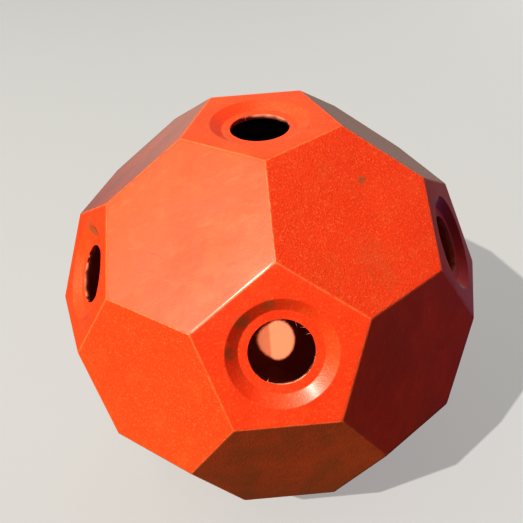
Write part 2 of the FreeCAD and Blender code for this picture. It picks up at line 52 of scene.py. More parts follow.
# For an edge of one: how far the pentagons and the hexagons are from the centre, and how far the
# points are that the pentagons cut off.
PENTAGON_RATIO = math.sqrt((125 + 41 * math.sqrt(5)) / 10) / 2
HEXAGON_RATIO = math.sqrt(3) / 4 * (3 + math.sqrt(5))
APEX_RATIO = 3 * math.sin(math.radians(72))
# The angles from +Z to the faces' normals in the upper rings.
RING_PENTAGON_TILT = math.atan(2)
TOP_HEXAGON_TILT = math.acos(math.sqrt((5 + 2 * math.sqrt(5)) / 15))
SIDE_HEXAGON_TILT = RING_PENTAGON_TILT + TOP_HEXAGON_TILT

SHELL_LOW, SHELL_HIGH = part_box("ball_shell")
PENTAGON_FACE = (SHELL_HIGH.z - SHELL_LOW.z) / 2
EDGE = PENTAGON_FACE / PENTAGON_RATIO
HEXAGON_FACE = EDGE * HEXAGON_RATIO
CENTRE = Vector((0, 0, PENTAGON_FACE))

WALL = 0.0045
# How wide the soft change from one face to the next is, outside and inside.
OUTER_BLEND = 0.0011
INNER_BLEND = 0.0009

FEED_HOLE_RADIUS = 0.025
DISH_MOUTH_RADIUS = 0.04175
DISH_MOUTH_LAND = 0.0035
DISH_BACK_LAND = 0.002
DISH_FLOOR_RADIUS = 0.03225
DISH_DEPTH = 0.006
DISH_MOUTH_ROUND = 0.0025
DISH_FLOOR_ROUND = 0.002
RIM_ROUND = 0.0003

HATCH_RIM = 0.0075
SEAT_GAP = 0.0005
SEAT_RADIUS = EDGE * math.sqrt(3) / 2 - HATCH_RIM
SEAT_MOUTH_LAND = 0.0025
SEAT_BACK_RADIUS = SEAT_RADIUS + WALL * 0.8
SEAT_DEPTH = 0.0055
SEAT_ROUND = 0.0008
RING_LIP = 0.0012
SCREW_HEAD_RADIUS = 0.004
WASHER_RADIUS = 0.0045
WASHER_LAND = 0.0008
COLLAR_WALL = 0.0023
COVER_GAP = 0.0004
GRIP_INSET = 0.0157
RING_RADIUS = SEAT_RADIUS - SEAT_GAP
SCREW_CIRCLE = RING_RADIUS - RING_LIP - SCREW_HEAD_RADIUS
HATCH_HOLE_RADIUS = SCREW_CIRCLE - WASHER_RADIUS - WASHER_LAND
COVER_RADIUS = HATCH_HOLE_RADIUS - SEAT_GAP - COLLAR_WALL - COVER_GAP
GRIP_RADIUS = COVER_RADIUS - GRIP_INSET

# How far a moulded face sinks in its middle, and how far its surface and a cut edge wander, with
# how many times a metre they do.
FACE_SINK = 0.0007
FACE_WANDER = 0.00022
FACE_WANDER_RATE = 14
CUT_WANDER = 0.0002
CUT_WANDER_RATE = 260

# ----------------------------------------------------------------------------- shader building

# The numbers of a colour Mix node's sockets.
COLOUR_A, COLOUR_B, COLOUR_RESULT = 6, 7, 2


def new_material(name):
    """A node material, its tree and its shader."""
    material = bpy.data.materials.new(name)
    material.use_nodes = True
    return material, material.node_tree, material.node_tree.nodes["Principled BSDF"]


def set_inputs(tree, node, inputs):
    """Set a node's inputs, from numbers, colours or other nodes' outputs."""
    for name, value in inputs.items():
        if isinstance(value, bpy.types.NodeSocket):
            tree.links.new(value, node.inputs[name])
        else:
            node.inputs[name].default_value = value


def add_node(tree, kind, inputs=None, **settings):
    """A new shader node with its settings and inputs."""
    made = tree.nodes.new(f"ShaderNode{kind}")
    for name, value in settings.items():
        setattr(made, name, value)
    set_inputs(tree, made, inputs or {})
    return made


def object_place(tree):
    """Where a point is in the row's frame, in metres."""
    return add_node(tree, "TexCoord").outputs["Object"]


def stored(tree, name):
    """A number stored on the mesh."""
    return add_node(tree, "Attribute", attribute_name=name).outputs["Fac"]


def speckle(tree, place, scale, detail=2.0, distortion=0.0):
    """Noise of a given scale, in cycles a metre."""
    inputs = {"Vector": place, "Scale": scale, "Detail": detail, "Distortion": distortion}
    return add_node(tree, "TexNoise", inputs).outputs["Fac"]


def between(tree, value, low, high, to_low=0.0, to_high=1.0):
    """A value eased from one range to another, and held at its ends."""
    inputs = {"Value": value, "From Min": low, "From Max": high, "To Min": to_low, "To Max": to_high}
    return add_node(tree, "MapRange", inputs, interpolation_type="SMOOTHSTEP").outputs["Result"]


def compute(tree, operation, *values):
    """One step of arithmetic."""
    return add_node(tree, "Math", dict(enumerate(values)), operation=operation).outputs[0]


def product(tree, *values):
    """Several values multiplied together."""
    result = values[0]
    for value in values[1:]:
        result = compute(tree, "MULTIPLY", result, value)
    return result


def mixed(tree, share, first, second):
    """A colour between two others."""
    made = add_node(tree, "Mix", {0: share, COLOUR_A: first, COLOUR_B: second}, data_type="RGBA")
    return made.outputs[COLOUR_RESULT]


def stretched(tree, place, sizes, turn=(0.0, 0.0, 0.0)):
    """Coordinates turned and then scaled by different amounts along each axis."""
    return add_node(
        tree, "Mapping", {"Vector": place, "Rotation": turn, "Scale": sizes}
    ).outputs["Vector"]


def bumped(tree, shader, height, strength, distance, below=None):
    """Give a shader a bump from a height, on top of another bump's normal."""
    inputs = {"Height": height, "Strength": strength, "Distance": distance}
    if below is not None:
        inputs["Normal"] = below
    made = add_node(tree, "Bump", inputs).outputs["Normal"]
    tree.links.new(made, shader.inputs["Normal"])
    return made


# ------------------------------------------------------------------------------ camera, stage

LENS = 42.3
SENSOR_WIDTH = 36.0
CAMERA_PLACE = (-0.0171, -0.4733, 0.5980)
CAMERA_TARGET = (-0.0061, 0.0192, 0.2121)
CAMERA_ROLL = 4.08

# The lights' directions from the ball's centre.
KEY_WAY = (-0.510, -0.431, 0.744)
FILL_WAY = (0.75, 0.62, 0.22)

FLOOR_SIZE = 12.0


def aim(item, place, target, roll=0.0):
    """Put an item at a place, looking at a target, rolled clockwise by some degrees."""
    item.location = place
    item.rotation_mode = "QUATERNION"
    look = (Vector(target) - Vector(place)).to_track_quat("-Z", "Y")
    item.rotation_quaternion = look @ Matrix.Rotation(math.radians(-roll), 3, "Z").to_quaternion()


def make_camera():
    """The camera that the picture is taken from."""
    data = bpy.data.cameras.new("camera")
    data.sensor_width = SENSOR_WIDTH
    data.lens = LENS
    camera = bpy.data.objects.new("camera", data)
    bpy.context.scene.collection.objects.link(camera)
    aim(camera, CAMERA_PLACE, CAMERA_TARGET, CAMERA_ROLL)
    bpy.context.scene.camera = camera


def area_light(name, direction, distance, size, energy, colour):
    """A round soft light in a direction from the ball's centre."""
    data = bpy.data.lights.new(name, "AREA")
    data.shape = "DISK"
    data.size = size
    data.energy = energy
    data.color = colour
    light = bpy.data.objects.new(name, data)
    bpy.context.scene.collection.objects.link(light)
    aim(light, CENTRE + Vector(direction).normalized() * distance, CENTRE)
    return light


def make_floor():
    """A pale floor.  It gives no light back to the ball and doesn't mirror in it, so that the
    ball's lower faces stay as dark as on grass.  It glows a little, so that the ball's shadow
    stays soft."""
    bpy.ops.mesh.primitive_plane_add(size=FLOOR_SIZE, location=(0, 0, 0))
    floor = bpy.context.object
    floor.name = "floor"
    material, tree, shader = new_material("floor")
    set_inputs(tree, shader, {
        "Base Color": (0.235, 0.23, 0.22, 1),
        "Roughness": 0.9,
        "Specular IOR Level": 0.0,
        "Emission Color": (1.0, 0.99, 0.97, 1),
        "Emission Strength": 0.26,
    })
    floor.data.materials.append(material)
    floor.visible_diffuse = False
    floor.visible_glossy = False


# Light from all round is dim, apart from the soft lights: where each comes from, the cosines of
# the angles from there at which it starts and is whole, and its colour.  Later ones lie over
# earlier ones.  The camera itself sees the plain backdrop instead.
DIM_LIGHT = (0.020, 0.014, 0.055, 1)
BACKDROP = (0.46, 0.455, 0.44, 1)
SOFT_LIGHTS = [
    ((0.0, 0.25, 0.97), 0.00, 0.95, (0.075, 0.080, 0.100, 1)),
    ((0.0, 0.92, 0.39), 0.45, 0.95, (0.36, 0.38, 0.34, 1)),
    ((-0.62, -0.08, 0.78), 0.75, 0.97, (0.40, 0.38, 0.24, 1)),
    ((0.84, 0.51, -0.18), 0.60, 0.90, (0.12, 0.08, 0.24, 1)),
    ((-0.75, -0.30, -0.58), 0.45, 0.95, (0.22, 0.27, 0.13, 1)),
    ((0.30, 0.88, -0.37), 0.80, 0.93, (0.240, 0.215, 0.185, 1)),
    ((0.25, -0.45, -0.86), 0.80, 0.95, (0.15, 0.165, 0.070, 1)),
]


def make_world():
    """Soft light from all round, strongest from behind and from the upper left."""
    world = bpy.data.worlds.new("studio")
    bpy.context.scene.world = world
    world.use_nodes = True
    tree = world.node_tree
    way = add_node(tree, "TexCoord").outputs["Generated"]
    colour = DIM_LIGHT
    for middle, start, end, light in SOFT_LIGHTS:
        unit = tuple(Vector(middle).normalized())
        cosine = add_node(tree, "VectorMath", {0: way, 1: unit}, operation="DOT_PRODUCT")
        share = between(tree, cosine.outputs["Value"], start, end)
        colour = mixed(tree, share, colour, light)
    seen = add_node(tree, "LightPath").outputs["Is Camera Ray"]
    colour = mixed(tree, seen, colour, BACKDROP)
    tree.links.new(colour, tree.nodes["Background"].inputs["Color"])


def make_stage():
    """The floor, the lights and how their brightness is shown."""
    make_floor()
    make_world()
    area_light("key", KEY_WAY, distance=7.0, size=0.09, energy=415.0, colour=(1.0, 0.98, 0.96))
    fill = area_light(
        "back_fill", FILL_WAY, distance=2.4, size=1.4, energy=9.0, colour=(0.93, 0.95, 1.0)
    )
    fill.visible_glossy = False
    bpy.context.scene.view_settings.view_transform = "Standard"
    bpy.context.scene.view_settings.look = "Very High Contrast"


# ------------------------------------------------------------------------------ ball geometry

# How many steps each edge of a face is divided into.
EDGE_STEPS = 22

# Where a face's rings of points lie, denser by its edge, where the surface turns: on a plain
# face, as shares of the way from the middle to the edge, and on a pierced one, as shares of the
# way from the edge to the dish or seat, and back to the edge inside.
PLAIN_OUTER_SHARES = (1.0, 0.992, 0.984, 0.975, 0.96, 0.93, 0.86, 0.74, 0.6, 0.46, 0.32, 0.16)
PLAIN_INNER_SHARES = (1.0, 0.97, 0.6)
PIERCED_OUTER_SHARES = (0.0, 0.03, 0.06, 0.10, 0.15, 0.25, 0.45, 0.7)
PIERCED_INNER_SHARES = (0.5, 0.85, 1.0)

# Distances that count as none: between radii, between points, and from a surface.
SAME_RADIUS = 1e-6
SAME_POINT = 1e-5
ON_SURFACE = WALL * 0.01


def direction(tilt, turn):
    """A unit vector tilted from +Z, turned from the front (-Y) towards +X."""
    return np.array([
        math.sin(tilt) * math.sin(turn), -math.sin(tilt) * math.cos(turn), math.cos(tilt)
    ])


def face_normals():
    """The pentagons' and the hexagons' outward normals."""
    fifth = 2 * math.pi / 5
    between_pentagons = [(k + 0.5) * fifth for k in range(5)]
    pentagons = [direction(0, 0)]
    pentagons += [direction(RING_PENTAGON_TILT, k * fifth) for k in range(5)]
    hexagons = [direction(TOP_HEXAGON_TILT, turn) for turn in between_pentagons]
    hexagons += [direction(math.pi - SIDE_HEXAGON_TILT, turn) for turn in between_pentagons]
    pentagons += [-normal for normal in pentagons]
    hexagons += [-normal for normal in hexagons]
    return np.array(pentagons), np.array(hexagons)


PENTAGONS, HEXAGONS = face_normals()
NORMALS = np.vstack([PENTAGONS, HEXAGONS])
DISTANCES = np.array([PENTAGON_FACE] * len(PENTAGONS) + [HEXAGON_FACE] * len(HEXAGONS))
HATCH = direction(TOP_HEXAGON_TILT, math.pi)
HATCH_MIDDLE = tuple(Vector(HATCH * HEXAGON_FACE) + CENTRE)
# Two normals are one face's if their cosine is over the first of these, and two pentagons are
# neighbours if theirs is over the second.
SAME_FACE_COSINE = 0.99
NEXT_PENTAGON_COSINE = 0.3


def corner_directions():
    """The sixty corners of the sharp ball, as vectors for an edge length of one."""
    apexes = PENTAGONS * APEX_RATIO
    corners = []
    for i, apex in enumerate(apexes):
        for j, other in enumerate(apexes):
            if i != j and PENTAGONS[i] @ PENTAGONS[j] > NEXT_PENTAGON_COSINE:
                corners.append((2 * apex + other) / 3)
    return np.array(corners)


CORNERS = corner_directions()


def soft_min(a, b, blend):
    """The lower of two distances, with a smooth change from one to the other."""
    overlap = np.maximum(blend - np.abs(a - b), 0) / blend
    return np.minimum(a, b) - overlap * overlap * blend / 4


def rounded(points, inset, blend):
    """Move points near the sharp ball's edges onto its rounded surface, and tell how far along
    the rounding each one is, from 0 on a flat to 1 on an edge."""
    units = points / np.linalg.norm(points, axis=1)[:, None]
    cosines = units @ NORMALS.T
    least_cosine, out_of_reach = 0.2, 9.0
    along_unit = (DISTANCES - inset) / np.maximum(cosines, least_cosine)
    reach = np.where(cosines > least_cosine, along_unit, out_of_reach)
    nearest = np.sort(reach, axis=1)[:, :3]
    radii = soft_min(soft_min(nearest[:, 0], nearest[:, 1], blend), nearest[:, 2], blend)
    edge = np.clip(1 - (nearest[:, 1] - nearest[:, 0]) / blend, 0, 1)
    return units * radii[:, None], edge


def face_frame(normal):
    """Two unit vectors across a face, at right angles to its normal and to each other."""
    nearly_level = abs(normal[2]) >= 0.9
    helper = np.array([0, 1.0, 0]) if nearly_level else np.array([0, 0, 1.0])
    across = np.cross(helper, normal)
    across /= np.linalg.norm(across)
    return across, np.cross(normal, across)


def face_outline(normal, distance, inset):
    """A face's outline at some inset: points evenly spaced along each of its edges."""
    across, along = face_frame(normal)
    scaled = CORNERS * EDGE
    own = scaled[np.abs(scaled @ normal - distance) < ON_SURFACE]
    angles = np.arctan2(own @ along, own @ across)
    own = np.array([inset_corner(corner, inset) for corner in own[np.argsort(angles)]])
    points = []
    for start, end in zip(own, np.roll(own, -1, axis=0)):
        points += [start + (end - start) * k / EDGE_STEPS for k in range(EDGE_STEPS)]
    return np.array(points)


def inset_corner(corner, inset):
    """Where the three faces at a corner meet once each has moved inwards."""
    faces = np.argsort(-(NORMALS @ corner) / DISTANCES)[:3]
    return np.linalg.solve(NORMALS[faces], DISTANCES[faces] - inset)


def rounded_path(corners, rounds, steps=5):
    """A path through (radius, height) corners with some corners turned into arcs."""
    path = []
    for index, corner in enumerate(corners):
        radius = rounds.get(index, 0.0)
        if radius == 0.0:
            path.append(corner)
            continue
        here = Vector(corner)
        before = (Vector(corners[index - 1]) - here).normalized()
        after = (Vector(corners[index + 1]) - here).normalized()
        half = before.angle(after) / 2
        reach = radius / math.tan(half)
        middle = here + (before + after).normalized() * (radius / math.sin(half))
        first = here + before * reach - middle
        sweep = (here + after * reach - middle).angle_signed(first)
        for step in range(steps + 1):
            turn = Matrix.Rotation(sweep * step / steps, 2)
            path.append(tuple(middle + turn @ first))
    return path


def dish_path():
    """Half of a dish's section, from the flat round its mouth, through the feed hole, to the
    flat inside: distance from the axis, and height above the face."""
    slope = math.atan(DISH_DEPTH / (DISH_MOUTH_RADIUS - DISH_FLOOR_RADIUS))
    shift = WALL * math.tan(slope / 2)
    flat = DISH_MOUTH_RADIUS + DISH_MOUTH_LAND
    corners = [
        (flat, 0.0),
        (DISH_MOUTH_RADIUS, 0.0),
        (DISH_FLOOR_RADIUS, -DISH_DEPTH),
        (FEED_HOLE_RADIUS, -DISH_DEPTH),
        (FEED_HOLE_RADIUS, -DISH_DEPTH - WALL),
        (DISH_FLOOR_RADIUS + shift, -DISH_DEPTH - WALL),
        (DISH_MOUTH_RADIUS + shift, -WALL),
        (flat + DISH_BACK_LAND, -WALL),
    ]
    rounds = {1: DISH_MOUTH_ROUND, 2: DISH_FLOOR_ROUND, 3: RIM_ROUND, 5: DISH_FLOOR_ROUND + WALL}
    return rounded_path(corners, rounds)


def seat_path():
    """Half of the hatch seat's section, in the same way."""
    corners = [
        (SEAT_RADIUS + SEAT_MOUTH_LAND, 0.0),
        (SEAT_RADIUS, 0.0),
        (SEAT_RADIUS, -SEAT_DEPTH),
        (HATCH_HOLE_RADIUS, -SEAT_DEPTH),
        (HATCH_HOLE_RADIUS, -SEAT_DEPTH - WALL),
        (SEAT_BACK_RADIUS, -SEAT_DEPTH - WALL),
        (SEAT_BACK_RADIUS, -WALL),
    ]
    return rounded_path(corners, {1: SEAT_ROUND, 2: SEAT_ROUND, 5: WALL / 2}, steps=3)


def labelled(path, hole_radius):
    """The path's points with the kind of surface that each is on: the moulded outside, the cut
    edge of the hole, or the inside of the ball."""
    surface = "outside"
    points = []
    for radius, height in path:
        at_hole = math.isclose(radius, hole_radius, abs_tol=SAME_RADIUS)
        if at_hole and surface == "outside":
            surface = "cut"
        elif not at_hole and surface == "cut":
            surface = "inside"
        points.append((radius, height, surface))
    return points


def pierced_rings(normal, distance, path, hole_radius):
    """The rings of points of a pierced face, from its outer edge to its inner edge, each with
    the kind of surface that it is on."""
    outer = face_outline(normal, distance, 0.0)
    inner = face_outline(normal, distance, WALL)
    flat_outer = outer - np.outer(outer @ normal, normal)
    around = flat_outer / np.linalg.norm(flat_outer, axis=1)[:, None]
    rings = []
    first = around * path[0][0] + normal * distance
    for share in PIERCED_OUTER_SHARES:
        rings.append((outer + (first - outer) * share, "outside"))
    for radius, height, surface in labelled(path, hole_radius):
        ring = around * radius + normal * (distance + height)
        if surface == "cut" and hole_radius == FEED_HOLE_RADIUS:
            ring += around * cut_wander(ring)[:, None]
        rings.append((ring, surface))
    last = rings[-1][0]
    for share in PIERCED_INNER_SHARES:
        rings.append((last + (inner - last) * share, "inside"))
    return rings


def cut_wander(points):
    """How far a hand-cut hole's edge wanders outwards at some points."""
    return np.array([CUT_WANDER * noise.noise(Vector(point) * CUT_WANDER_RATE) for point in points])


def plain_rings(normal, distance, inset, shares, surface):
    """The rings of points of a plain face, from its edge in to its middle."""
    outline = face_outline(normal, distance, inset)
    middle = normal * (distance - inset)
    return [(middle + (outline - middle) * share, surface) for share in shares]


def add_rings(mesh, rings, close=False, flip=False):
    """Join rings of points with quads, and close the last ring round its middle if asked."""
    layers = {name: mesh.verts.layers.float[name] for name in ("cut", "inside")}
    count = len(rings[0][0])
    loops = []
    for points, surface in rings:
        loop = [mesh.verts.new(point) for point in points]
        if surface in layers:
            for vertex in loop:
                vertex[layers[surface]] = 1.0
        loops.append(loop)
    for outer, inner in zip(loops, loops[1:]):
        for k in range(count):
            after = (k + 1) % count
            quad = [outer[k], outer[after], inner[after], inner[k]]
            mesh.faces.new(quad[::-1] if flip else quad)
    if close:
        points, surface = rings[-1]
        middle = mesh.verts.new(np.mean(points, axis=0))
        if surface in layers:
            middle[layers[surface]] = 1.0
        for k in range(count):
            corner = [loops[-1][k], loops[-1][(k + 1) % count], middle]
            mesh.faces.new(corner[::-1] if flip else corner)


# How strongly the moulding's texture and the painted shade in its pits show on the pentagons, and on
# the hexagons where they aren't whole.  The strengths differ face by face as the light falls on each
# face, as lit and shaded copies of one texture.  The hexagons are counted as face_normals counts
# them.
PENTAGON_GRAIN_AND_SHADE = 0.55
HEXAGON_GRAIN_AND_SHADE = {3: 0.5, 4: 0.15, 5: 0.4, 9: 0.75}

# How dark the painted shade is on the hexagons that have it, counted in the same way.
HEXAGON_PAINTED_SHADE = {5: 0.6, 6: 0.5, 7: 0.5, 8: 0.4, 15: 0.6, 16: 0.6, 17: 0.9, 18: 0.5, 19: 0.5}


def add_faces(mesh):
    """Add all the ball's faces to a mesh, outside, inside and through their openings."""
    for normal in PENTAGONS:
        add_rings(mesh, pierced_rings(normal, PENTAGON_FACE, dish_path(), FEED_HOLE_RADIUS))
    for normal in HEXAGONS:
        if normal @ HATCH > SAME_FACE_COSINE:
            add_rings(mesh, pierced_rings(normal, HEXAGON_FACE, seat_path(), HATCH_HOLE_RADIUS))
            continue
        outside = plain_rings(normal, HEXAGON_FACE, 0.0, PLAIN_OUTER_SHARES, "outside")
        inside = plain_rings(normal, HEXAGON_FACE, WALL, PLAIN_INNER_SHARES, "inside")
        add_rings(mesh, outside, close=True)
        add_rings(mesh, inside, close=True, flip=True)
    bmesh.ops.remove_doubles(mesh, verts=mesh.verts, dist=SAME_POINT)


def make_shell():
    """The moulded ball with its hollow, dishes, feed holes and hatch seat."""
    mesh = bmesh.new()
    for name in ("cut", "inside"):
        mesh.verts.layers.float.new(name)
    add_faces(mesh)
    points = np.array([vertex.co for vertex in mesh.verts])
    outer_points, outer_edge = rounded(points, 0.0, OUTER_BLEND)
    inner_points, _ = rounded(points, WALL, INNER_BLEND)
    depth = radial_depth(points)
    on_outside = depth < ON_SURFACE
    on_inside = np.abs(depth - WALL) < ON_SURFACE
    points[on_outside] = outer_points[on_outside]
    points[on_inside] = inner_points[on_inside]
    points -= NORMALS[face_of(points)] * settled(points, on_outside)[:, None]
    for vertex, point in zip(mesh.verts, points):
        vertex.co = Vector(point) + CENTRE
    shell = ball_piece("moulded_shell", mesh)
    add_attribute(shell.data, "edge", np.where(on_outside, outer_edge, 0.0))
    # The texture's strength with its painted pit shade, face by face as the light falls.
    add_attribute(shell.data, "grain_and_pit_shade", face_values(points, PENTAGON_GRAIN_AND_SHADE, 1.0, HEXAGON_GRAIN_AND_SHADE))
    # Painted shade, face by face, stored for the material to read.
    add_attribute(shell.data, "painted_shade", face_values(points, 0.0, 0.0, HEXAGON_PAINTED_SHADE))
    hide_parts("ball_shell")
    return shell


def ball_piece(name, mesh):
    """A smoothly shaded piece of the ball's own plastic, which moves with the ball."""
    data = bpy.data.meshes.new(name)
    mesh.to_mesh(data)
    mesh.free()
    data.polygons.foreach_set("use_smooth", [True] * len(data.polygons))
    piece = bpy.data.objects.new(name, data)
    bpy.context.scene.collection.objects.link(piece)
    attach(piece, "ball")
    return piece


def add_attribute(data, name, values):
    """Store one number a vertex on a mesh, for its material to read."""
    attribute = data.attributes.new(name, "FLOAT", "POINT")
    attribute.data.foreach_set("value", np.asarray(values, dtype=np.float32))


def face_of(points):
    """The number of the face that each point is on."""
    return np.argmax(points @ NORMALS.T / DISTANCES, axis=1)


def settled(points, on_outside):
    """How far each point of the moulding has sunk: plain faces sink in their middles, and all
    the outside wanders a little, except round the hatch, where the ring has to fit."""
    faces = face_of(points)
    cosines = (points / np.linalg.norm(points, axis=1)[:, None]) @ NORMALS.T
    cosines[np.arange(len(points)), faces] = -1.0
    # how near each point is to the next face, and how far it is into its own, from 0 to 1
    nearness = cosines.max(axis=1)
    on_hexagon = on_outside & (faces >= len(PENTAGONS))
    low = nearness[on_hexagon].min()
    high = nearness[on_hexagon].max()
    share = np.clip((high - nearness) / (high - low), 0, 1)
    off_hatch = NORMALS[faces] @ HATCH < SAME_FACE_COSINE
    sink = np.where(on_hexagon & off_hatch, FACE_SINK * share * share * (3 - 2 * share), 0.0)
    wander = [noise.noise(Vector(point) * FACE_WANDER_RATE) for point in points]
    wander = np.array(wander) * FACE_WANDER * np.where(off_hatch, share, 0)
    return np.where(on_outside, sink + np.abs(wander), 0.0)


def face_values(points, pentagon, hexagon, exceptions):
    """Each point's value, which is its face's: one for all pentagons, one for the hexagons, and
    some hexagons' own."""
    values = np.array([pentagon] * len(PENTAGONS) + [hexagon] * len(HEXAGONS))
    for number, value in exceptions.items():
        values[len(PENTAGONS) + number] = value
    return values[face_of(points)]


def radial_depth(points):
    """How far inside the sharp ball's nearest face each point lies."""
    return np.min(DISTANCES - points @ NORMALS.T, axis=1)


# ------------------------------------------------------------------- swarf left at the cut holes

SLIVERS_PER_HOLE = 9
SLIVER_SEED = 7
SLIVER_SIDES = 5
SLIVER_STEPS = 6
SLIVER_LENGTHS = (0.0015, 0.0045)
SLIVER_RADII = (0.00018, 0.0003)
# How deep under the dish's floor a sliver starts, and how far into the wall.
SLIVER_DEPTHS = (0.0002, WALL * 0.8)
SLIVER_ROOT = 0.0003
# Shares of a sliver's length that it bends by and of its thickness that it loses, how flat it
# is, and how far it may lean sideways.
SLIVER_BEND = 0.55
SLIVER_TAPER = 0.8
SLIVER_FLATNESS = 0.5
SLIVER_LEAN = 1.6


def add_sliver(mesh, start, away, lift, length, radius):
    """A thin tapered curl of plastic, hanging by its thick end."""
    side = away.cross(lift).normalized()
    rings = []
    for step in range(SLIVER_STEPS + 1):
        share = step / SLIVER_STEPS
        bend = share * share * length * SLIVER_BEND
        middle = start + away * (length * share) + lift * bend
        thickness = radius * (1.0 - SLIVER_TAPER * share)
        ring = []
        for corner in range(SLIVER_SIDES):
            angle = 2 * math.pi * corner / SLIVER_SIDES
            offset = side * math.cos(angle) + lift.cross(side) * math.sin(angle) * SLIVER_FLATNESS
            offset += lift * math.sin(angle) * SLIVER_FLATNESS
            ring.append(mesh.verts.new(middle + offset * thickness))
        rings.append(ring)
    for low, high in zip(rings, rings[1:]):
        for corner in range(SLIVER_SIDES):
            after = (corner + 1) % SLIVER_SIDES
            mesh.faces.new([low[corner], low[after], high[after], high[corner]])
    mesh.faces.new(rings[0][::-1])
    mesh.faces.new(rings[-1])


def make_swarf():
    """Slivers that the hole cutter left hanging at the feed holes' edges."""
    draws = random.Random(SLIVER_SEED)
    mesh = bmesh.new()
    for normal in PENTAGONS:
        across, along = (Vector(v) for v in face_frame(normal))
        outwards = Vector(normal)
        for _ in range(SLIVERS_PER_HOLE):
            angle = draws.uniform(0, 2 * math.pi)
            around = across * math.cos(angle) + along * math.sin(angle)
            level = PENTAGON_FACE - DISH_DEPTH - draws.uniform(*SLIVER_DEPTHS)
            start = CENTRE + outwards * level + around * (FEED_HOLE_RADIUS + SLIVER_ROOT)
            lean = outwards.cross(around) * draws.uniform(-SLIVER_LEAN, SLIVER_LEAN)
            away = (-around + lean).normalized()
            lift = outwards * draws.choice((-1, 1))
            length = draws.uniform(*SLIVER_LENGTHS)
            add_sliver(mesh, start, away, lift, length, draws.uniform(*SLIVER_RADII))
    bmesh.ops.recalc_face_normals(mesh, faces=mesh.faces)
    return ball_piece("feed_hole_burrs", mesh)


# ------------------------------------------------------------------------- the ball's materials


def face_place(normal, distance, across, along):
    """A place on a face, from its middle, in metres across and along the face."""
    side, rise = face_frame(normal)
    return tuple(Vector(normal * distance + side * across + rise * along) + CENTRE)


# How ragged a mark is, and where it starts and is whole, as shares of its size.
MARK_RAGGEDNESS = 1.6
MARK_EDGE = 1.15
MARK_CORE = 0.35

# Marks on the ball: the face, the place on it, the size, how strong, and what it looks like.
MARKS = [
    ("hexagon", 0, 0.026, 0.023, 0.0045, 0.75, "stain"),
    ("hexagon", 0, -0.006, -0.033, 0.020, 0.30, "specks"),
    ("hexagon", 0, -0.008, -0.047, 0.018, 0.40, "specks"),
    ("hexagon", 0, -0.048, -0.026, 0.020, 0.22, "specks"),
    ("hexagon", 0, 0.001, 0.043, 0.010, 0.25, "specks"),
    ("hexagon", 4, -0.001, 0.046, 0.014, 0.85, "smear"),
    ("hexagon", 4, -0.016, -0.032, 0.016, 0.90, "smear"),
    ("hexagon", 4, 0.008, -0.044, 0.014, 0.85, "smear"),
    ("hexagon", 9, -0.048, 0.012, 0.030, 0.35, "smear"),
    ("pentagon", 5, -0.023, 0.031, 0.009, 0.60, "stain"),
    ("pentagon", 1, 0.030, 0.017, 0.006, 0.25, "smear"),
    ("pentagon", 1, 0.0395, -0.0095, 0.0018, 0.6, "stain"),
    # The next three stains lie on the upper left slope of pentagon 1's dish, which is turned from the
    # key light: brown dirt specks and painted shade together.
    ("pentagon", 1, -0.0064, 0.0370, 0.0065, 0.45, "stain"),
    ("pentagon", 1, -0.0262, 0.0262, 0.0075, 0.55, "stain"),
    ("pentagon", 1, -0.0368, 0.0040, 0.0060, 0.50, "stain"),
    ("hexagon", 12, 0.010, 0.020, 0.024, 0.40, "smear"),
    ("hexagon", 14, -0.020, 0.010, 0.022, 0.35, "smear"),
    ("hexagon", 8, 0.020, -0.015, 0.020, 0.30, "specks"),
]


def mark_masks(tree, place):
    """How much of each kind of mark there is at a point."""
    ragged = compute(tree, "SUBTRACT", speckle(tree, place, 160, 4.0), 0.5)
    totals = {"stain": 0.0, "specks": 0.0, "smear": 0.0}
    for shape, index, across, along, size, strength, kind in MARKS:
        if shape == "hexagon":
            middle = face_place(HEXAGONS[index], HEXAGON_FACE, across, along)
        else:
            middle = face_place(PENTAGONS[index], PENTAGON_FACE, across, along)
        gap = add_node(tree, "VectorMath", {0: place, 1: middle}, operation="DISTANCE")
        loose = compute(tree, "MULTIPLY_ADD", ragged, size * MARK_RAGGEDNESS, gap.outputs["Value"])
        mask = between(tree, loose, size * MARK_EDGE, size * MARK_CORE, 0.0, strength)
        totals[kind] = compute(tree, "MAXIMUM", mask, totals[kind])
    return totals


# The ball's colours: the plastic's own, with painted shade in the pits of its texture, the painted
# shade on some hexagons, the dirt's, whose stain colour also paints shade on one dish's slope, those
# of scuffed plastic, of edges worn and painted with a highlight, of cut and inner plastic, and the
# slivers'.
DEEP_ORANGE = (0.880, 0.097, 0.020, 1)
PLAIN_ORANGE = (0.920, 0.113, 0.025, 1)
CLOUDY_ORANGE = (0.860, 0.160, 0.040, 1)
LIGHT_SPECK = (0.960, 0.220, 0.070, 1)
# Painted shade in the pits of the texture.
PAINTED_PIT_SHADE = (0.560, 0.085, 0.020, 1)
# Painted shade for the hexagons that have it.
PAINTED_SHADE_FILM = (0.360, 0.098, 0.042, 1)
MUD_SMEAR = (0.430, 0.100, 0.026, 1)
DIRT_DOT = (0.420, 0.230, 0.060, 1)
# Dirt stains, also painting shade on one dish's slope.
DIRT_STAIN_AND_SHADE = (0.300, 0.170, 0.060, 1)
SCUFFED_ORANGE = (0.950, 0.240, 0.090, 1)
# Edges pale from wear and from a painted highlight.
EDGE_WEAR_AND_HIGHLIGHT_ORANGE = (1.000, 0.280, 0.110, 1)
CUT_ORANGE = (0.980, 0.500, 0.340, 1)
INNER_ORANGE = (0.850, 0.350, 0.200, 1)
SLIVER_PALE = (0.95, 0.62, 0.50, 1)
SLIVER_ORANGE = (0.98, 0.40, 0.26, 1)


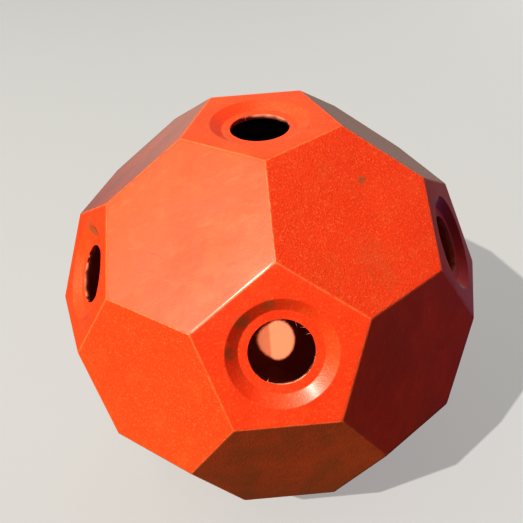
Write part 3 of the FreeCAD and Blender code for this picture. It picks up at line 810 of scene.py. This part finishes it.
def moulded_colour(tree, place, grain_and_pit_shade, fine, pits):
    """The plastic's own colour: uneven and clouded, with light specks and with painted shade in the
    pits of its texture."""
    tone = between(tree, speckle(tree, place, 9, 3.0), 0.35, 0.65)
    colour = mixed(tree, tone, DEEP_ORANGE, PLAIN_ORANGE)
    cloud = between(tree, speckle(tree, place, 55, 5.0, 0.6), 0.48, 0.72, 0.0, 0.35)
    colour = mixed(tree, cloud, colour, CLOUDY_ORANGE)
    light_specks = product(tree, between(tree, fine, 0.53, 0.68, 0.0, 0.8), grain_and_pit_shade)
    colour = mixed(tree, light_specks, colour, LIGHT_SPECK)
    # Painted shade in the pits of the texture, as strong as each face's stored strength.
    pit_shade = product(tree, between(tree, pits, 0.47, 0.35, 0.0, 0.42), grain_and_pit_shade)
    return mixed(tree, pit_shade, colour, PAINTED_PIT_SHADE)


def dirtied_and_shaded(tree, place, colour, pits):
    """A colour under painted shade on some hexagons, mottled and darker towards the ground, and with
    the marks.
    """
    drift = speckle(tree, stretched(tree, place, (46, 46, 24), (0.1, 0.25, 0.0)), 1.0, 6.0, 0.3)
    height = add_node(tree, "SeparateXYZ", {0: place}).outputs["Z"]
    # Painted shade: the faces' stored darkening, mottled, and stronger towards the ground.
    ground_shade = between(tree, height, 0.05, 0.18, 1.0, 0.72)
    shade_film = product(tree, stored(tree, "painted_shade"), ground_shade, between(tree, drift, 0.34, 0.66, 0.68, 1.0))
    colour = mixed(tree, shade_film, colour, PAINTED_SHADE_FILM)
    marks = mark_masks(tree, place)
    streaks = speckle(tree, stretched(tree, place, (70, 70, 600)), 1.0, 4.0, 0.4)
    smear = product(tree, marks["smear"], between(tree, streaks, 0.50, 0.60))
    colour = mixed(tree, smear, colour, MUD_SMEAR)
    dots = product(tree, marks["specks"], between(tree, pits, 0.50, 0.60))
    colour = mixed(tree, dots, colour, DIRT_DOT)
    # Stains: dirt, and on one dish's slope painted shade as well.
    return mixed(tree, marks["stain"], colour, DIRT_STAIN_AND_SHADE)


def scuffed_and_edge_lit(tree, place, colour, scuffs, edge, cut, inside):
    """A colour with pale scuffs, with edges pale from wear and from a painted highlight, and with the
    paler plastic of the cut holes and of the inside."""
    colour = mixed(tree, scuffs, colour, SCUFFED_ORANGE)
    broken = between(tree, speckle(tree, place, 210, 3.0), 0.30, 0.60, 0.22, 0.62)
    # Edges: wear, and a painted highlight of the rounded edges catching the light.
    colour = mixed(tree, product(tree, edge, broken), colour, EDGE_WEAR_AND_HIGHLIGHT_ORANGE)
    colour = mixed(tree, product(tree, cut, 0.85), colour, CUT_ORANGE)
    return mixed(tree, product(tree, inside, 0.9), colour, INNER_ORANGE)


def orange_plastic():
    """Rotationally moulded polyethylene: textured, a little uneven in colour, scuffed and dirty
    outside, with painted shade on some hexagons and in the pits of its texture, pale where it was
    cut, pale along the edges from wear and from a painted highlight, and powdery inside."""
    material, tree, shader = new_material("orange_plastic")
    place = object_place(tree)
    edge = between(tree, stored(tree, "edge"), 0.15, 0.95)
    cut = stored(tree, "cut")
    inside = stored(tree, "inside")
    grain_and_pit_shade = stored(tree, "grain_and_pit_shade")
    fine = speckle(tree, place, 620, 2.5)
    pits = speckle(tree, place, 760, 2.5)
    scratches = speckle(tree, stretched(tree, place, (38, 190, 90), (0.2, 0.7, 0.4)), 1.0, 6.0, 1.2)
    scuffs = between(tree, scratches, 0.60, 0.70, 0.0, 0.16)

    colour = moulded_colour(tree, place, grain_and_pit_shade, fine, pits)
    colour = dirtied_and_shaded(tree, place, colour, pits)
    colour = scuffed_and_edge_lit(tree, place, colour, scuffs, edge, cut, inside)
    rough = between(tree, speckle(tree, place, 30, 4.0), 0.35, 0.65, 0.46, 0.54)
    rough = compute(tree, "ADD", rough, product(tree, scuffs, 0.3))
    powdery = product(tree, compute(tree, "MAXIMUM", cut, inside), 0.8)
    glossless = compute(tree, "MAXIMUM", inside, edge)
    set_inputs(tree, shader, {
        "Base Color": colour,
        "Roughness": compute(tree, "MAXIMUM", rough, powdery),
        "IOR": 1.5,
        "Specular IOR Level": 0.8,
        "Coat Weight": between(tree, glossless, 0.0, 1.0, 0.3, 0.02),
        "Coat Roughness": 0.19,
    })

    wave = bumped(tree, shader, speckle(tree, place, 85, 3.0), 0.35, 0.0006)
    texture = compute(tree, "ADD", fine, speckle(tree, place, 900, 2.0))
    bumped(tree, shader, compute(tree, "MULTIPLY", texture, grain_and_pit_shade), 0.55, 0.0005, wave)
    add_sheen(tree, shader)
    return material


def add_sheen(tree, shader):
    """Cover a shader with the gloss that a surface takes on where it is seen edge-on."""
    facing = add_node(tree, "LayerWeight").outputs["Facing"]
    share = between(tree, facing, 0.76, 0.95, 0.0, 0.88)
    gloss = add_node(tree, "BsdfGlossy", {"Roughness": 0.25})
    made = add_node(tree, "MixShader", {0: share, 1: shader.outputs[0], 2: gloss.outputs[0]})
    tree.links.new(made.outputs[0], tree.nodes["Material Output"].inputs["Surface"])


def cut_plastic():
    """The pale stretched plastic of the slivers at the cut holes."""
    material, tree, shader = new_material("cut_plastic")
    place = object_place(tree)
    patches = between(tree, speckle(tree, place, 700, 2.0), 0.35, 0.65)
    colour = mixed(tree, patches, SLIVER_PALE, SLIVER_ORANGE)
    tree.links.new(colour, shader.inputs["Base Color"])
    shader.inputs["Roughness"].default_value = 0.6
    bumped(tree, shader, patches, 0.3, 0.0002)
    return material


# ------------------------------------------------------------------------- the hatch's materials

# The circles beside the rims, which hands and stones rub, and how far the wear reaches.
RING_WORN_RADII = (RING_RADIUS - 0.0008, COVER_RADIUS + 0.0012)
COVER_WORN_RADII = (COVER_RADIUS - 0.0006, GRIP_RADIUS + 0.0008)
WEAR_REACH = 0.0013

DEEP_BLACK = (0.016, 0.017, 0.019, 1)
PLAIN_BLACK = (0.030, 0.030, 0.032, 1)
DUST = (0.115, 0.095, 0.070, 1)
RUBBED_GREY = (0.150, 0.148, 0.145, 1)
SCRATCHED_GREY = (0.120, 0.120, 0.118, 1)
RUBBER_BLACK = (0.020, 0.019, 0.019, 1)
RUBBER_BLOOM = (0.060, 0.057, 0.054, 1)
STEEL = (0.62, 0.61, 0.59, 1)
STEEL_STAIN = (0.36, 0.27, 0.19, 1)
LATHE_LINES = 4000.0


def hatch_radius(tree, place):
    """How far a point is from the hatch's axis."""
    from_middle = add_node(tree, "VectorMath", {0: place, 1: HATCH_MIDDLE}, operation="SUBTRACT")
    turned = add_node(
        tree, "VectorMath", {0: from_middle.outputs["Vector"], 1: tuple(HATCH)},
        operation="CROSS_PRODUCT",
    )
    return add_node(
        tree, "VectorMath", {0: turned.outputs["Vector"]}, operation="LENGTH"
    ).outputs["Value"]


def hatch_depth(tree, place):
    """How far a point is under the hatch's face."""
    from_middle = add_node(tree, "VectorMath", {0: HATCH_MIDDLE, 1: place}, operation="SUBTRACT")
    return add_node(
        tree, "VectorMath", {0: from_middle.outputs["Vector"], 1: tuple(HATCH)},
        operation="DOT_PRODUCT",
    ).outputs["Value"]


def near_radius(tree, radius, wanted):
    """1 close to a circle about the hatch's axis, and 0 away from it."""
    gap = compute(tree, "ABSOLUTE", compute(tree, "SUBTRACT", radius, wanted))
    return between(tree, gap, WEAR_REACH, WEAR_REACH * 0.3)


def black_plastic(name, worn_radii):
    """Moulded black plastic with a fine spark texture, dusty in its corners and rubbed grey at
    the rims that hands and stones reach."""
    material, tree, shader = new_material(name)
    place = object_place(tree)
    radius = hatch_radius(tree, place)
    depth = hatch_depth(tree, place)
    tone = between(tree, speckle(tree, place, 26, 4.0), 0.35, 0.65)
    colour = mixed(tree, tone, DEEP_BLACK, PLAIN_BLACK)
    dust = product(
        tree, between(tree, speckle(tree, place, 70, 5.0, 0.5), 0.45, 0.75),
        between(tree, depth, 0.0, 0.012, 0.25, 0.8),
    )
    colour = mixed(tree, dust, colour, DUST)
    at_top = between(tree, depth, 0.0012, 0.0004)
    broken = between(tree, speckle(tree, place, 330, 3.0), 0.38, 0.58, 0.2, 0.9)
    wear = 0.0
    for wanted in worn_radii:
        wear = compute(tree, "MAXIMUM", near_radius(tree, radius, wanted), wear)
    wear = product(tree, wear, at_top, broken)
    colour = mixed(tree, wear, colour, RUBBED_GREY)
    scratches = speckle(tree, stretched(tree, place, (900, 70, 70), (0.3, 0.2, 0.6)), 1.0, 2.0, 0.3)
    scratched = product(tree, between(tree, scratches, 0.66, 0.74, 0.0, 0.5), at_top)
    colour = mixed(tree, scratched, colour, SCRATCHED_GREY)
    tree.links.new(colour, shader.inputs["Base Color"])
    rough = between(tree, speckle(tree, place, 45, 3.0), 0.3, 0.7, 0.42, 0.56)
    rough = compute(tree, "ADD", rough, product(tree, dust, 0.2))
    tree.links.new(rough, shader.inputs["Roughness"])
    bumped(tree, shader, speckle(tree, place, 1500, 2.0), 0.35, 0.00025)
    return material


def seal_rubber():
    """Black rubber with a bloom of chalk and fine pores."""
    material, tree, shader = new_material("seal_rubber")
    place = object_place(tree)
    bloom = between(tree, speckle(tree, place, 60, 5.0), 0.42, 0.70)
    colour = mixed(tree, bloom, RUBBER_BLACK, RUBBER_BLOOM)
    tree.links.new(colour, shader.inputs["Base Color"])
    tree.links.new(between(tree, bloom, 0.0, 1.0, 0.62, 0.82), shader.inputs["Roughness"])
    bumped(tree, shader, speckle(tree, place, 1100, 3.0), 0.3, 0.0002)
    return material


def fastener_steel():
    """Plain stainless steel, turned, slightly stained by the weather."""
    material, tree, shader = new_material("fastener_steel")
    place = object_place(tree)
    radius = hatch_radius(tree, place)
    stain = between(tree, speckle(tree, place, 240, 4.0), 0.50, 0.72, 0.0, 0.75)
    colour = mixed(tree, stain, STEEL, STEEL_STAIN)
    tree.links.new(colour, shader.inputs["Base Color"])
    tree.links.new(between(tree, stain, 0.0, 0.75, 0.26, 0.60), shader.inputs["Roughness"])
    shader.inputs["Metallic"].default_value = 1.0
    turned = add_node(tree, "CombineXYZ", {"X": product(tree, radius, LATHE_LINES)}).outputs["Vector"]
    bumped(tree, shader, speckle(tree, turned, 1.0, 2.0), 0.15, 0.00008)
    return material


def dress(node, material):
    """Give one of the CAD model's own pieces a material."""
    for material_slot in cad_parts[node].material_slots:
        material_slot.material = material


def dress_hatch():
    """Give all the hatch's pieces their materials."""
    dress("hatch_ring", black_plastic("ring_plastic", RING_WORN_RADII))
    dress("hatch_cover", black_plastic("cover_plastic", COVER_WORN_RADII))
    rubber = seal_rubber()
    for node in ("ring_gasket", "cover_seal"):
        dress(node, rubber)
    steel = fastener_steel()
    for node in ("ring_screws", "ring_washers", "ring_nuts"):
        dress(node, steel)


make_camera()
make_stage()
SHELL = make_shell()
SHELL.data.materials.append(orange_plastic())
SWARF = make_swarf()
SWARF.data.materials.append(cut_plastic())
dress_hatch()
